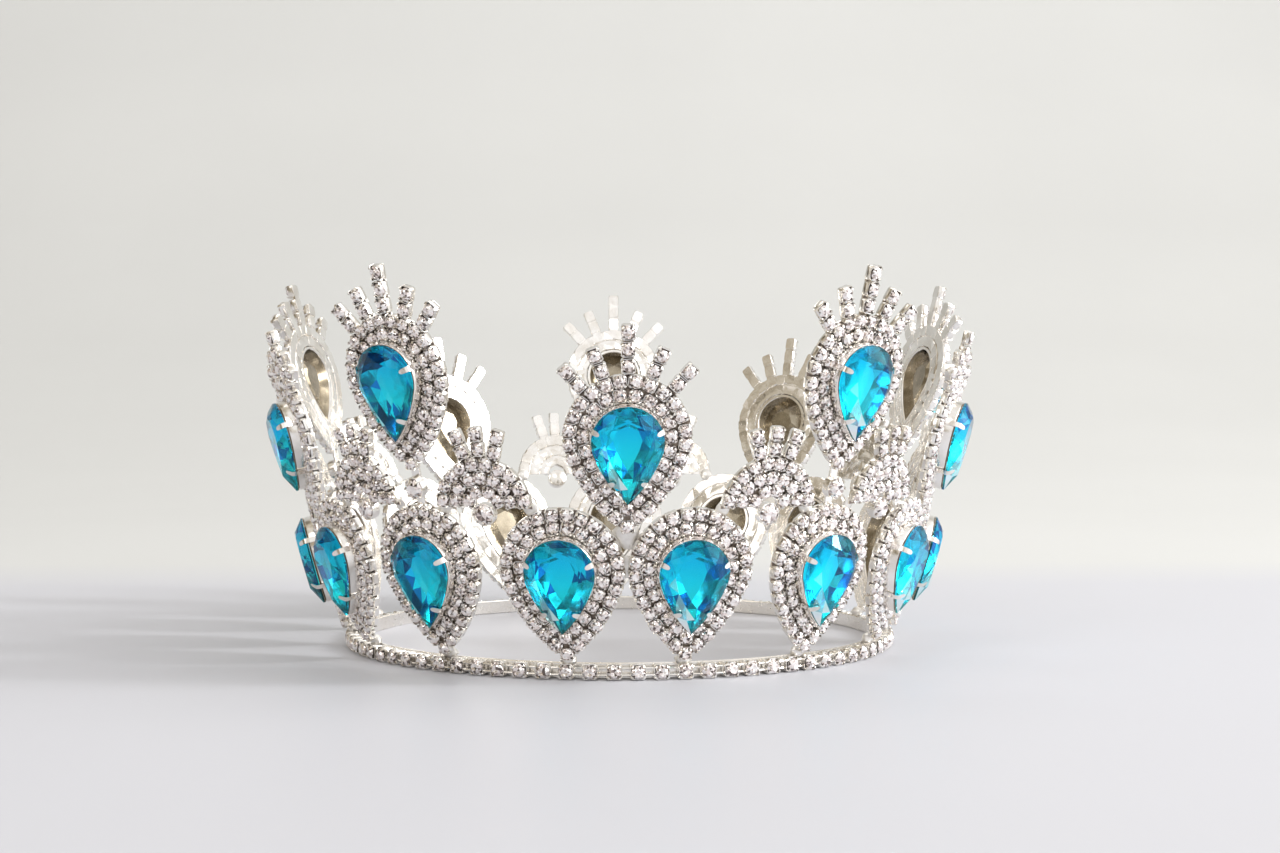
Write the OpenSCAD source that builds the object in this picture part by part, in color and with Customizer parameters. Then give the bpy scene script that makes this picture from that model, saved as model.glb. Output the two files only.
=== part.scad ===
// Full-round rhinestone crown, built from soldered cup chain and claw-set pear stones.
// Units are millimetres. Z is up, the crown rests on Z = 0, azimuth 0 faces -Y.

/* [Base ring] */
// Inside radius of the flat band that sits on the head
band_inner_r = 75; // [60:0.5:90]
// Radial thickness of the flat band
band_wall = 0.9; // [0.6:0.1:2]
// Height of the flat band
band_h = 4.2; // [3:0.1:8]
// Number of cups in the chain around the band
base_cups = 80; // [60:5:100]
// Width and height of one cup in the base chain
cup_w = 3.5; // [2.5:0.1:5]
// Radial depth of a cup in the base chain
cup_depth = 3.3; // [2:0.1:5]
// Clearance between the chain and the surface the band rests on
chain_lift = 0.35; // [0.2:0.05:1]
// Thickness of the two wires that link the base cups
wire_t = 0.5; // [0.3:0.1:1]

/* [Cone] */
// Outward lean of every medallion and fan, in degrees
lean = 15; // [0:1:25]

/* [Pear stone] */
// Width of the pear stone
gem_w = 18; // [12:0.5:22]
// Length of the pear stone
gem_l = 25; // [16:0.5:32]
// Angle below the horizontal where the round end meets the straight flanks
shoulder = 20; // [10:1:30]
// Height of the girdle above the back of the medallion
girdle_z = 5.6; // [4:0.1:8]
// Thickness of the girdle
girdle_t = 0.5; // [0.2:0.1:1]
// Height of the crown of the stone above the girdle
crown_h = 2.6; // [1.5:0.1:4]
// Depth of the pavilion of the stone below the girdle
pavilion_h = 4.4; // [3:0.1:5]
// Width of the sloping border around the table of the stone
table_inset = 3.4; // [2:0.1:5]

/* [Stone setting] */
// Width of the wall under the girdle
setting_wall = 1.0; // [0.6:0.1:1.5]
// Width of a claw
claw_w = 1.1; // [0.8:0.1:1.6]
// Thickness of a claw outside the girdle
claw_t = 0.6; // [0.4:0.1:1]
// Reach of a claw over the crown of the stone
claw_reach = 0.8; // [0.5:0.1:1.2]
// Height on the stone of the upper pair of claws, as an angle above the horizontal
claw_angle = 19; // [0:1:45]
// Distance below the round end's centre of the lower pair of claws
claw_low = 10.6; // [8:0.1:13]

/* [Halo rows] */
// Width of one halo row of cup chain
row_w = 3.5; // [2.5:0.1:4.5]
// Thickness of the cup walls, from the back to the rim
frame_t = 2.4; // [1.6:0.1:3.5]
// Thickness of the back under the stones
back_t = 0.8; // [0.5:0.1:1.5]
// Width of the groove between the two rows
groove_w = 0.5; // [0.3:0.1:1]
// Depth of the groove between the two rows
groove_d = 0.5; // [0.2:0.1:0.8]
// Radius of a small round stone
stone_r = 1.5; // [1:0.05:2]
// Height of a small round stone
stone_h = 2.2; // [1.5:0.1:3]
// Clearance around a small stone in its cup
stone_gap = 0.05; // [0.02:0.01:0.2]
// Stones in the inner halo row
inner_stones = 21; // [15:2:25]
// Stones in the outer halo row
outer_stones = 27; // [21:2:33]

/* [Medallion positions] */
// Gap between the two medallions of a touching pair
pair_gap = 0.1; // [0.05:0.05:1]
// Distance up the cone to the tips of the lower medallions
foot_rise = 5.4; // [5.2:0.1:6.2]
// Height of a low upper medallion's tip above the round ends' centres of the pair it sits on
seat_rise = 9.2; // [8.5:0.1:12]
// Gap between a high upper medallion's tip and the lower medallion under it
link_gap = 8.9; // [7:0.1:12]
// Least gap between a high upper medallion and the fan rays beside it, in the medallion's plane
ray_clear = 0.5; // [0.2:0.1:1]

/* [Rays] */
// Distance between the stones of a ray
ray_pitch = 4.2; // [3.6:0.1:5]
// Angle between the centre ray and the next one
ray_inner_angle = 21.5; // [18:0.5:30]
// Angle between the centre ray and the outermost one
ray_outer_angle = 42; // [38:0.5:60]
// Stones in the centre ray
ray_long = 3; // [1:1:4]
// Stones in each side ray
ray_short = 2; // [1:1:3]

/* [Fans] */
// Radius left free inside the three rows of a fan
fan_core = 2.6; // [2.4:0.1:3.2]
// Distance of the fan's flat side below the tops of its neighbours
fan_sink = 0.2; // [0:0.1:0.4]
// Angle between the rays of a fan
fan_ray_angle = 17; // [16:1:25]
// Distance of the drop stone below the fan's centre
drop_down = 1.7; // [1.5:0.1:2.5]
// Radius of the round drop and link stones
round_r = 2.5; // [2:0.1:2.6]
// Wall of the cup around a drop or link stone
round_wall = 0.5; // [0.3:0.1:0.8]

/* [Hidden] */
modules = 5;
period = 360 / modules;
half_period = period / 2;
quarter = 90;
half_turn = 180;
little = 0.01;
overshoot = 1;
fine = 72;
band_outer_r = band_inner_r + band_wall;
cone_r = band_outer_r + 0.1;
chain_outer_r = band_outer_r + cup_depth;
chain_mid_z = chain_lift + cup_w / 2;
wire_z = cup_w / 4;
pitch_angle = 360 / base_cups;
stone_sides = 24;
pocket_r = stone_r + stone_gap;
base_stone_out = 0.5;

// Pear outline: round end of radius gem_r about the origin, flanks of radius flank_r
gem_r = gem_w / 2;
tip_d = gem_l - gem_r;
flank_k = (tip_d * tip_d - gem_r * gem_r) / (2 * tip_d * sin(shoulder) - 2 * gem_r);
flank_r = gem_r - flank_k;
flank_x = -flank_k * cos(shoulder);
flank_y = -flank_k * sin(shoulder);
halo_w = 2 * row_w;
inner_row = row_w / 2;
outer_row = inner_row + row_w;
halo_top = gem_r + halo_w;
halo_tip = tip_y(halo_w);
pear_box = 3 * gem_l;
lower_s = foot_rise - halo_tip;
upper_low_s = lower_s + seat_rise - halo_tip;
pair_angle = atan((halo_top + pair_gap) / (cone_r + lower_s * sin(lean)));

// Facet counts and insets of the pear stone
end_facets = 10;
flank_facets = 5;
keel_inset = gem_r - 0.15;
crown_mid = 0.45;
crown_mid_h = 0.62;
stone_floor = girdle_z - pavilion_h;

fan_angle = (pair_angle + half_period) / 2;
fan_r = fan_core + 3 * row_w;
fan_s = lower_s + halo_top - fan_sink;
fan_rows = [[fan_core + row_w * 5 / 2, 10], [fan_core + row_w * 3 / 2, 7], [fan_core + row_w / 2, 4]];
fan_rays = [-fan_ray_angle, 0, fan_ray_angle];
fan_ray_pitch = 4.0;
fan_ray_stones = 2;
ray_end = fan_r + fan_ray_stones * fan_ray_pitch;
round_cup_r = round_r + round_wall;
round_cup_h = 2.8;
round_stone_h = 3.0;
round_sides = 36;
link_w = 2.6;
link_lap = 2;

foot_w = 2.8;
foot_h = 2.6;
foot_depth = 3.4;
pad_t = 2.2;
pair_pad_r = 2.6;
pair_pad_z = 0.5;
seat_pad_r = 5.4;
seat_pad_z = -0.9;
seat_s = lower_s + seat_rise - 0.8;
fan_pad_w = 4.2;
fan_pad_lap = 1.6;
fan_pad_z = -1.2;
fan_room = (cone_r + fan_s * sin(lean)) * sin(half_period - fan_angle);
fan_pad_reach = norm([fan_room - fan_r, fan_s - lower_s]) - halo_top;
fan_pad_turn = atan2(fan_s - lower_s, fan_room - fan_r);

// A high medallion sits link_gap above the one below it, or higher where the fan rays need it
ray_corner = [fan_room - row_w / 2 * cos(fan_ray_angle) - ray_end * sin(fan_ray_angle),
    fan_s - row_w / 2 * sin(fan_ray_angle) + ray_end * cos(fan_ray_angle)];
over_rays_s = ray_corner[1] - flank_y
    + sqrt(pow(flank_r + halo_w + ray_clear, 2) - pow(ray_corner[0] + flank_x, 2));
upper_high_s = max(lower_s + halo_top + link_gap - halo_tip, over_rays_s);
link_s = (lower_s + halo_top + upper_high_s + halo_tip) / 2;

// Azimuth of each lower medallion, upper medallion and fan
lower_az = [for (m = [0 : modules - 1]) each [m * period - pair_angle,
    m * period + pair_angle, m * period + half_period]];
upper_az = [for (m = [0 : modules - 1]) each [m * period, m * period + half_period]];
fan_az = [for (m = [0 : modules - 1]) each [m * period + fan_angle, (m + 1) * period - fan_angle]];

silver = [0.78, 0.77, 0.76];
clear = [0.93, 0.92, 0.95];
aqua = [0.05, 0.6, 0.75];

// Name of the i-th of a row of like nodes, counted from 01
function numbered(name, i) = str(name, i < 9 ? "_0" : "_", i + 1);

// Lowest point of the outline at a given offset
function tip_y(off) = flank_y - sqrt(pow(flank_r + off, 2) - pow(flank_x, 2));

// Angle at which a flank reaches the centre line at a given offset
function tip_angle(off) = acos(flank_x / (flank_r + off));

// Lengths of the round quarter and of one flank at a given offset
function end_len(off) = (quarter + shoulder) * PI / half_turn * (gem_r + off);
function flank_len(off) = (tip_angle(off) - shoulder) * PI / half_turn * (flank_r + off);

// Point on the right half of the outline, a run away from the top
function half_point(off, run) = run < end_len(off)
    ? let (a = quarter - run / (gem_r + off) * half_turn / PI)
        [(gem_r + off) * cos(a), (gem_r + off) * sin(a)]
    : let (a = -shoulder - (run - end_len(off)) / (flank_r + off) * half_turn / PI)
        [-flank_x + (flank_r + off) * cos(a), flank_y + (flank_r + off) * sin(a)];

// Point on the whole outline, counted from the tip
function outline_point(off, part) =
    let (half = end_len(off) + flank_len(off), run = half * (1 - 2 * min(part, 1 - part)),
        p = half_point(off, run))
    part < 0.5 ? p : [-p[0], p[1]];

// Corner points of a faceted pear loop
function right_side(off) = concat(
    [for (i = [0 : end_facets - 1]) let (a = quarter - i * (quarter + shoulder) / end_facets)
        [(gem_r + off) * cos(a), (gem_r + off) * sin(a)]],
    [for (i = [0 : flank_facets])
        let (a = -shoulder - i * (tip_angle(off) - shoulder) / flank_facets)
        [-flank_x + (flank_r + off) * cos(a), flank_y + (flank_r + off) * sin(a)]]);
function mirrored(list) = [for (i = [len(list) - 2 : -1 : 1]) [-list[i][0], list[i][1]]];
function loop(off, z) = [for (p = concat(right_side(off), mirrored(right_side(off))))
    [p[0], p[1], z]];

// Moves a child onto the cone, with its Y up the slope and its Z outward
module on_cone(azimuth, s) {
    rotate([0, 0, azimuth])
        translate([0, -cone_r - s * sin(lean), s * cos(lean)])
            rotate([quarter + lean, 0, 0])
                children();
}

// Pear outline grown by an offset
module pear(off) {
    circle(r = gem_r + off, $fn = fine);
    intersection() {
        translate([-flank_x, flank_y])
            circle(r = flank_r + off, $fn = fine * 2);
        translate([flank_x, flank_y])
            circle(r = flank_r + off, $fn = fine * 2);
        translate([-pear_box / 2, -pear_box - (gem_r + off) * sin(shoulder)])
            square([pear_box, pear_box]);
    }
}

module halo_blank() {
    linear_extrude(frame_t)
        pear(halo_w);
}

module stone(r, h) {
    cylinder(r = r, h = h, $fn = stone_sides);
}

module halo_stones(r, h) {
    for (i = [0 : inner_stones - 1])
        translate(concat(outline_point(inner_row, i / inner_stones), back_t))
            stone(r, h);
    for (i = [0 : outer_stones - 1])
        translate(concat(outline_point(outer_row, i / outer_stones), back_t))
            stone(r, h);
}

// Two rows of cup chain soldered side by side around the opening of a pear setting
module medallion() {
    color(silver)
        difference() {
            linear_extrude(frame_t)
                difference() {
                    pear(halo_w);
                    pear(0);
                }
            translate([0, 0, -little])
                linear_extrude(groove_d + little)
                    difference() {
                        pear(row_w + groove_w / 2);
                        pear(row_w - groove_w / 2);
                    }
            halo_stones(pocket_r, frame_t);
        }
}

// Faceted pear stone with a flat table and a pavilion that closes below its round end
module pear_gem() {
    count = 2 * (end_facets + flank_facets);
    rings = [loop(-keel_inset, stone_floor), loop(0, girdle_z), loop(0, girdle_z + girdle_t),
        loop(-table_inset * crown_mid, girdle_z + girdle_t + crown_h * crown_mid_h),
        loop(-table_inset, girdle_z + girdle_t + crown_h)];
    last = len(rings) - 1;
    sides = [for (k = [0 : last - 1], i = [0 : count - 1])
        let (j = (i + 1) % count, a = k * count, b = a + count)
            each [[a + i, b + i, a + j], [b + i, b + j, a + j]]];
    color(aqua)
        polyhedron(points = [for (ring = rings) each ring],
            faces = concat([[for (i = [0 : count - 1]) i]], sides,
                [[for (i = [count - 1 : -1 : 0]) last * count + i]]));
}

// Claw profile, with X outward from the girdle and Y up
module claw() {
    top = girdle_z + girdle_t + crown_h * crown_mid_h;
    foot = max(frame_t, back_t + stone_h) + stone_gap;
    root = seat_z() - claw_t / 2;
    rotate([quarter, 0, 0])
        translate([0, 0, -claw_w / 2])
            linear_extrude(claw_w)
                polygon([[-setting_wall / 3, foot], [claw_t, foot], [claw_t, top],
                    [-claw_reach, top], [-claw_reach, top - claw_t],
                    [stone_gap, girdle_z + girdle_t + stone_gap],
                    [stone_gap, root], [-setting_wall / 3, root]]);
}

// Height of the pavilion above the inner edge of the setting wall
function seat_z() = girdle_z - pavilion_h * setting_wall / keel_inset;

// Open-backed wall with four claws
module setting() {
    low_x = -flank_x + sqrt(pow(flank_r, 2) - pow(claw_low + flank_y, 2));
    low_turn = asin((claw_low + flank_y) / flank_r);
    color(silver) {
        linear_extrude(seat_z())
            difference() {
                pear(0);
                pear(-setting_wall);
            }
        for (side = [0, 1])
            mirror([side, 0, 0]) {
                rotate([0, 0, claw_angle])
                    translate([gem_r, 0, 0])
                        claw();
                translate([low_x, -claw_low, 0])
                    rotate([0, 0, -low_turn])
                        claw();
            }
    }
}

// Straight run of cups that starts on a round edge
module ray(start, pitch, stones) {
    difference() {
        linear_extrude(frame_t)
            difference() {
                translate([-row_w / 2, start / 2])
                    square([row_w, start / 2 + stones * pitch]);
                circle(r = start, $fn = fine);
            }
        ray_stones_row(start, pitch, stones, pocket_r, frame_t);
    }
}

module ray_stones_row(start, pitch, stones, r, h) {
    for (i = [0 : stones - 1])
        translate([0, start + pitch / 2 + i * pitch, back_t])
            stone(r, h);
}

function ray_angles() = [-ray_outer_angle, -ray_inner_angle, 0, ray_inner_angle, ray_outer_angle];
function ray_count(a) = a == 0 ? ray_long : ray_short;
function upper_s(i) = i % 2 == 0 ? upper_low_s : upper_high_s;

// Half-round fan with three short rays and a notch for the cup of its drop stone
module fan_blank() {
    linear_extrude(frame_t)
        difference() {
            union() {
                intersection() {
                    circle(r = fan_r, $fn = fine);
                    translate([-fan_r, 0])
                        square([2 * fan_r, fan_r]);
                }
                for (a = fan_rays)
                    rotate([0, 0, a])
                        translate([-row_w / 2, fan_r - row_w])
                            square([row_w, row_w + fan_ray_stones * fan_ray_pitch]);
            }
            translate([0, -drop_down])
                circle(r = round_cup_r, $fn = fine);
        }
}

module fan_row_stones(r, h) {
    for (row = fan_rows, i = [0 : row[1] - 1])
        rotate([0, 0, (i + 1 / 2) * half_turn / row[1]])
            translate([row[0], 0, back_t])
                stone(r, h);
}

module fan() {
    color(silver)
        difference() {
            fan_blank();
            fan_small_stones(pocket_r, frame_t);
        }
}

module fan_small_stones(r, h) {
    fan_row_stones(r, h);
    for (a = fan_rays)
        rotate([0, 0, a])
            ray_stones_row(fan_r, fan_ray_pitch, fan_ray_stones, r, h);
}

module round_cup() {
    difference() {
        cylinder(r = round_cup_r, h = round_cup_h, $fn = fine);
        translate([0, 0, back_t])
            cylinder(r = round_r + stone_gap, h = round_cup_h, $fn = fine);
    }
}

module round_stone() {
    translate([0, 0, back_t])
        cylinder(r = round_r, h = round_stone_h, $fn = round_sides);
}

// Cup of the link stone with a strap that reaches the medallions above and below it
module link_cup() {
    difference() {
        union() {
            round_cup();
            difference() {
                translate([-link_w / 2, lower_s + halo_top - link_s - link_lap, 0])
                    cube([link_w, 2 * (link_s - lower_s - halo_top + link_lap), back_t]);
                translate([0, 0, -little])
                    cylinder(r = round_r, h = back_t + 2 * little, $fn = fine);
            }
        }
        translate([0, lower_s - link_s, 0])
            halo_blank();
        translate([0, upper_high_s - link_s, 0])
            halo_blank();
    }
}

// Flat band against the head
module base_band() {
    color(silver)
        difference() {
            cylinder(r = band_outer_r, h = band_h, $fn = 2 * fine);
            translate([0, 0, -overshoot])
                cylinder(r = band_inner_r, h = band_h + 2 * overshoot, $fn = 2 * fine);
        }
}

// Cups linked by two wires around the band
module base_chain() {
    color(silver)
        difference() {
            union() {
                for (i = [0 : base_cups - 1])
                    rotate([0, 0, (i + 1 / 2) * pitch_angle])
                        translate([-cup_w / 2, -chain_outer_r, chain_lift])
                            cube([cup_w, cup_depth + stone_gap, cup_w]);
                for (z = [chain_mid_z - wire_z, chain_mid_z + wire_z])
                    translate([0, 0, z - wire_t / 2])
                        difference() {
                            cylinder(r = band_outer_r + cup_depth / 2, h = wire_t, $fn = 2 * fine);
                            translate([0, 0, -overshoot])
                                cylinder(r = band_outer_r + cup_depth / 2 - wire_t,
                                    h = wire_t + 2 * overshoot, $fn = 2 * fine);
                        }
            }
            translate([0, 0, -overshoot])
                cylinder(r = band_outer_r, h = band_h + 2 * overshoot, $fn = 2 * fine);
            base_row(pocket_r, cup_depth);
        }
}

module base_row(r, h) {
    for (i = [0 : base_cups - 1])
        rotate([0, 0, (i + 1 / 2) * pitch_angle])
            translate([0, -band_outer_r - back_t, chain_mid_z])
                rotate([quarter, 0, 0])
                    stone(r, h);
}

module base_stones() {
    color(clear)
        base_row(stone_r, cup_depth - back_t + base_stone_out);
}

// Blocks that carry the tips of the lower medallions on the band
module feet() {
    color(silver)
        for (a = lower_az)
            difference() {
                rotate([0, 0, a])
                    translate([-foot_w / 2, -band_inner_r - foot_depth, band_h])
                        cube([foot_w, foot_depth, foot_h]);
                on_cone(a, lower_s)
                    halo_blank();
            }
}

// Solder where medallions and fans meet
module solder_pads() {
    color(silver) {
        for (m = [0 : modules - 1]) {
            difference() {
                on_cone(m * period, lower_s)
                    translate([0, 0, pair_pad_z])
                        cylinder(r = pair_pad_r, h = pad_t, $fn = fine);
                pair_blanks(m);
            }
            difference() {
                on_cone(m * period, seat_s)
                    translate([0, 0, seat_pad_z])
                        cylinder(r = seat_pad_r, h = pad_t, $fn = fine);
                pair_blanks(m);
                on_cone(m * period, upper_low_s)
                    halo_blank();
            }
        }
        for (i = [0 : len(fan_az) - 1], side = [-1, 1])
            difference() {
                on_cone(fan_az[i], fan_s)
                    mirror([(1 - side) / 2, 0, 0])
                        translate([fan_r, 0, fan_pad_z])
                            rotate([0, 0, -fan_pad_turn])
                                translate([-fan_pad_lap, -fan_pad_w / 2, 0])
                                    cube([fan_pad_reach + 2 * fan_pad_lap, fan_pad_w, pad_t]);
                on_cone(fan_az[i], fan_s)
                    fan_blank();
                on_cone(fan_az[i] + side * (half_period - fan_angle), lower_s)
                    halo_blank();
            }
    }
}

module pair_blanks(m) {
    for (side = [-1, 1])
        on_cone(m * period + side * pair_angle, lower_s)
            halo_blank();
}

base_band();
base_chain();
base_stones();
for (i = [0 : len(lower_az) - 1])
    on_cone(lower_az[i], lower_s) medallion();
for (i = [0 : len(upper_az) - 1])
    on_cone(upper_az[i], upper_s(i)) medallion();
for (i = [0 : len(fan_az) - 1])
    on_cone(fan_az[i], fan_s) fan();
for (a = lower_az) on_cone(a, lower_s) pear_gem();  // lower_gems
for (i = [0 : len(upper_az) - 1])  // upper_gems
    on_cone(upper_az[i], upper_s(i)) pear_gem();
for (a = lower_az) on_cone(a, lower_s) setting();  // lower_settings
for (i = [0 : len(upper_az) - 1])  // upper_settings
    on_cone(upper_az[i], upper_s(i)) setting();
color(clear) for (a = lower_az)  // lower_halo_stones
    on_cone(a, lower_s) halo_stones(stone_r, stone_h);
color(clear) for (i = [0 : len(upper_az) - 1])  // upper_halo_stones
    on_cone(upper_az[i], upper_s(i)) halo_stones(stone_r, stone_h);
color(silver) for (i = [0 : len(upper_az) - 1])  // upper_rays
    on_cone(upper_az[i], upper_s(i)) for (a = ray_angles()) rotate([0, 0, a])
        ray(halo_top, ray_pitch, ray_count(a));
color(clear) for (i = [0 : len(upper_az) - 1])  // ray_stones
    on_cone(upper_az[i], upper_s(i)) for (a = ray_angles()) rotate([0, 0, a])
        ray_stones_row(halo_top, ray_pitch, ray_count(a), stone_r, stone_h);
color(clear) for (a = fan_az)  // fan_stones
    on_cone(a, fan_s) fan_small_stones(stone_r, stone_h);
color(silver) {  // round_cups
    for (a = fan_az) on_cone(a, fan_s) translate([0, -drop_down, 0]) round_cup();
    for (m = [0 : modules - 1]) on_cone(m * period + half_period, link_s) link_cup();
}
color(clear) {  // round_stones
    for (a = fan_az) on_cone(a, fan_s) translate([0, -drop_down, 0]) round_stone();
    for (m = [0 : modules - 1]) on_cone(m * period + half_period, link_s) round_stone();
}
solder_pads();
feet();
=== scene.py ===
"""Looks of a full-round rhinestone crown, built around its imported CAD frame. Lengths are in millimetres."""

import math

import bpy
import numpy as np
from mathutils import Matrix, Vector


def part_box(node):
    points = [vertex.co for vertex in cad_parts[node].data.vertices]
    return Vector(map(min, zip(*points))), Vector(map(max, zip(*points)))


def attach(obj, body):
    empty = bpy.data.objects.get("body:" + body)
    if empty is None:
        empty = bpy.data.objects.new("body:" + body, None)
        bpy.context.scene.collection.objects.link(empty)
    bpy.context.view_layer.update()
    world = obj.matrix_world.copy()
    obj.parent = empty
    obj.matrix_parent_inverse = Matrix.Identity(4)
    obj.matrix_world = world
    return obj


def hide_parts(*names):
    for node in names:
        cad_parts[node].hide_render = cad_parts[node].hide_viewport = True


MM = 0.001
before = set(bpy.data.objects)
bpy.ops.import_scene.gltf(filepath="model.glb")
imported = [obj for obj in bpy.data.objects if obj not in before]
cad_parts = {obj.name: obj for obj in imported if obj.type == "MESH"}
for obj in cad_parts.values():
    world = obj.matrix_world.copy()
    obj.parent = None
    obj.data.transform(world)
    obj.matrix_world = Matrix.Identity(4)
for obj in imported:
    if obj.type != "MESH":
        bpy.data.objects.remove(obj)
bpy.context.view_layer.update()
chance = np.random.RandomState(7)

# Driving sizes of the crown, the same ones that the CAD part is made from
PERIODS = 5
LEAN = math.radians(15)
GEM_W, GEM_L = 18.0, 25.0
SHOULDER = math.radians(20)
GIRDLE_Z, GIRDLE_T = 5.6, 0.5
CROWN_H, PAVILION_H = 2.6, 4.4
TABLE_INSET = 3.4
SETTING_WALL = 1.0
ROW = 3.5
INNER_STONES, OUTER_STONES = 21, 27
PAIR_GAP, FOOT_RISE, SEAT_RISE, LINK_GAP = 0.1, 5.4, 9.2, 8.9
RAY_PITCH, FAN_RAY_PITCH = 4.2, 4.0
RAY_ANGLES = {-42.0: 2, -21.5: 2, 0.0: 3, 21.5: 2, 42.0: 2}
FAN_RAY_ANGLES, FAN_RAY_STONES = (-17.0, 0.0, 17.0), 2
FAN_COUNTS, FAN_CORE, FAN_SINK, DROP_DOWN = (4, 7, 10), 2.6, 0.2, 1.7
CLAW_ANGLE, CLAW_LOW = 19.0, 10.6
BASE_CUPS, CHAIN_DEPTH, CHAIN_LIFT = 80, 3.3, 0.35

# Sizes of the detail: cups of the rows and of the base chain, their stones and the plates behind them.
# NEAR is how close two heights have to be to count as the same.
CUP_ACROSS, HALO_CUP_ALONG, CUP_H, CUP_FLOOR = 3.46, 3.4, 1.95, 1.1
CUP_CORNER, CUP_WALL, CUP_LIP, RAY_SEAM = 0.55, 0.22, 0.4, 0.25
CHAIN_CUP, CHAIN_CUP_FLOOR, CHAIN_CUP_BACK, WIRE_R, WIRE_OFF = 4.0, 1.6, 0.75, 0.3, 0.9
STONE_R, STONE_CROWN, CHAIN_STONE_R, CHAIN_STONE_CROWN, STONE_LIFT = 1.69, 0.82, 1.85, 0.9, 0.22
ROUND_R, ROUND_GIRDLE_Z, ROUND_CROWN = 2.6, 2.75, 1.15
ROUND_SIDES, ROUND_CLAW_COUNT, ROUND_CLAW_R, ROUND_CLAW_Z = 24, 8, 2.82, 2.5
BACK_TOP, BACK_EDGE, GROOVE_Z, GROOVE_RIM, GROOVE_SIDE = 0.75, 0.2, 0.35, 0.15, 0.45
RAY_BACK_HALF, RAY_BACK_BEVEL, RAY_BACK_Z = 1.4, 0.3, 0.1
LINK_HALF, LINK_HALF_T, LINK_CORNER, LINK_OVERLAP = 1.3, 0.4, 0.2, 1.6
NEAR = 0.01

# In degrees: the start and span of a fan's back plate, the random turns of hand-set cups and stones, and the
# angle from which an edge looks sharp
FAN_FROM, FAN_SPAN, FAN_STEPS = -2, 184, 40
CUP_TURN, STONE_TURN, CHAIN_CUP_TURN, CHAIN_STONE_TURN, ROUND_STONE_TURN = 4.0, 6, 2, 5, 4
SHARP_ANGLE = 38

# Claws: (outward, upward) points from the rim of the cup, and half widths at those points
CUP_CLAW = ((0.0, -0.9), (0.02, 0.0), (-0.05, 0.45), (-0.3, 0.72), (-0.62, 0.86))
CUP_CLAW_HALVES, CUP_CLAW_T, CUP_CLAW_IN = (0.42, 0.4, 0.38, 0.32, 0.2), 0.2, 0.42
ROUND_CLAW = ((0.0, -0.9), (0.02, 0.0), (-0.08, 0.5), (-0.35, 0.8), (-0.7, 0.95))
ROUND_CLAW_HALVES, ROUND_CLAW_T = (0.36, 0.33, 0.3, 0.26, 0.18), 0.22
PEAR_CLAW = ((0.3, 0.0), (0.12, 0.55), (-0.4, 0.95), (-1.0, 1.4), (-1.4, 1.66), (-1.6, 1.75))
PEAR_CLAW_HALVES, PEAR_CLAW_T = (0.75, 0.72, 0.7, 0.7, 0.68, 0.62, 0.45, 0.2), 0.34
CLAW_TAPER = 0.85

# Round stones: radii and the table's dip as parts of the radius, the star's height as a part of the crown
CHATON_SIDES, CHATON_TABLE, CHATON_STAR, CHATON_UNDER = 8, 0.54, 0.80, 0.55
CHATON_DIP, CHATON_STAR_RISE, CHATON_EDGE, CHATON_DEPTH = 0.11, 0.58, 0.15, 0.7

# Pear stones: insets and heights of the facet corners as parts of the whole, and the coat behind the foil
PEAR_SIDES, PEAR_STEPS = 10, 96
STAR_INSET, STAR_RISE = 0.5, 0.62
MIDDLE_INSET, MIDDLE_DEPTH = 0.36, 0.62
FLOOR_INSET, FLOOR_DEPTH = 0.60, 0.94
COAT_FROM, COAT_TO = 0.04, 0.2

# Radii and height of the band, read from the frame
band_low, band_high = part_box("base_band")
BAND_R = band_high[0] / MM
BAND_H = (band_high[2] - band_low[2]) / MM
BAND_WALL, BAND_ROLL, RING_STEPS = 0.9, 0.3, 240
LAP_SINK, LAP_X = 0.35, (-4.0, -3.6, 3.6, 4.0)
CONE_R = BAND_R + 0.1

# Pear outline: a round end about the origin and two flanks of a larger radius
GEM_R = GEM_W / 2
TIP_D = GEM_L - GEM_R
flank_k = (TIP_D**2 - GEM_R**2) / (2 * TIP_D * math.sin(SHOULDER) - 2 * GEM_R)
FLANK_R = GEM_R - flank_k
FLANK_X = -flank_k * math.cos(SHOULDER)
FLANK_Y = -flank_k * math.sin(SHOULDER)
HALO_W = 2 * ROW
HALO_TOP = GEM_R + HALO_W
HALO_TIP = FLANK_Y - math.sqrt((FLANK_R + HALO_W) ** 2 - FLANK_X**2)

# Places up the cone, and azimuths around it
LOWER_S = FOOT_RISE - HALO_TIP
UPPER_LOW_S = LOWER_S + SEAT_RISE - HALO_TIP
UPPER_HIGH_S = LOWER_S + HALO_TOP + LINK_GAP - HALO_TIP
LINK_S = (LOWER_S + HALO_TOP + UPPER_HIGH_S + HALO_TIP) / 2
FAN_S = LOWER_S + HALO_TOP - FAN_SINK
FAN_R = FAN_CORE + 3 * ROW
PERIOD = 360.0 / PERIODS
PAIR_ANGLE = math.degrees(math.atan((HALO_TOP + PAIR_GAP) / (CONE_R + LOWER_S * math.sin(LEAN))))
FAN_ANGLE = (PAIR_ANGLE + PERIOD / 2) / 2
LOWER_AZ = [m * PERIOD + a for m in range(PERIODS) for a in (-PAIR_ANGLE, PAIR_ANGLE, PERIOD / 2)]
UPPER_AZ = [m * PERIOD / 2 for m in range(2 * PERIODS)]
FAN_AZ = [m * PERIOD + a for m in range(PERIODS) for a in (FAN_ANGLE, PERIOD - FAN_ANGLE)]


# ---- geometry helpers -------------------------------------------------------------------------

def turn_z(degrees):
    return np.array(Matrix.Rotation(math.radians(degrees), 4, "Z"))


def shift(x, y, z):
    return np.array(Matrix.Translation((x, y, z)))


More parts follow.
